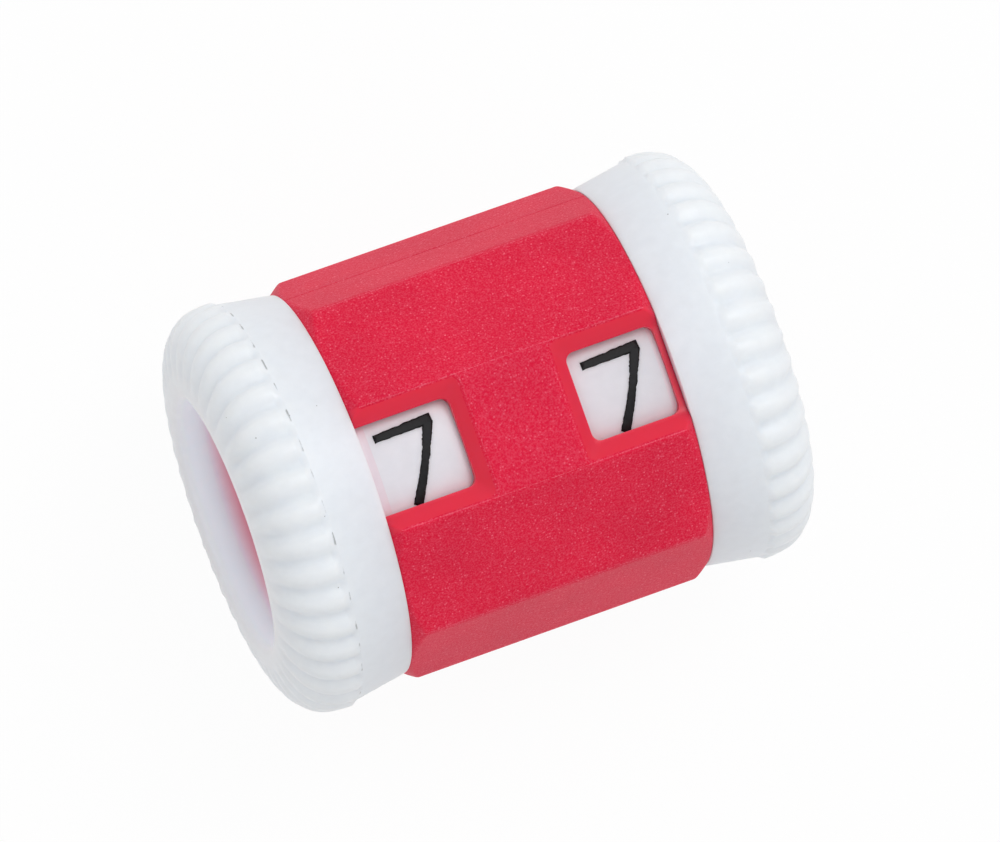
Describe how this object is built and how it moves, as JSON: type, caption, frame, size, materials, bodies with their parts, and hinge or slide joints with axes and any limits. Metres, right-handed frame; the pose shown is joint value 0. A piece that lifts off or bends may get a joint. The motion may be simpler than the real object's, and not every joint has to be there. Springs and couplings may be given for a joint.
{
  "type": "barrel row counter",
  "caption": "Barrel row counter that slides over a knitting needle: a ten-sided sleeve with number windows and a fluted number wheel turning on each end of a core tube.",
  "frame": {"origin": "middle of the needle bore, halfway between the two mouths", "axes": "+X along the barrel towards the wheel whose window has a closing bar, +Z the way the number windows face, barrel lying on its two rims"},
  "size_m": [0.0256, 0.0192, 0.0192],
  "materials": {
    "red_sleeve": "spark-textured moulding",
    "red_core": "smooth moulding",
    "white_left_wheel": "satin translucent moulding",
    "white_right_wheel": "satin translucent moulding"
  },
  "bodies": {
    "body": {"window_sleeve": "red_sleeve", "core_tube": "red_core"},
    "left_wheel": {"left_number_wheel": "white_left_wheel"},
    "right_wheel": {"right_number_wheel": "white_right_wheel"}
  },
  "joints": [
    {"name": "left_wheel_turn", "type": "hinge", "parent": "body", "child": "left_wheel", "pos_m": [0, 0, 0], "axis": [1, 0, 0], "continuous": true},
    {"name": "right_wheel_turn", "type": "hinge", "parent": "body", "child": "right_wheel", "pos_m": [0, 0, 0], "axis": [1, 0, 0], "continuous": true}
  ]
}
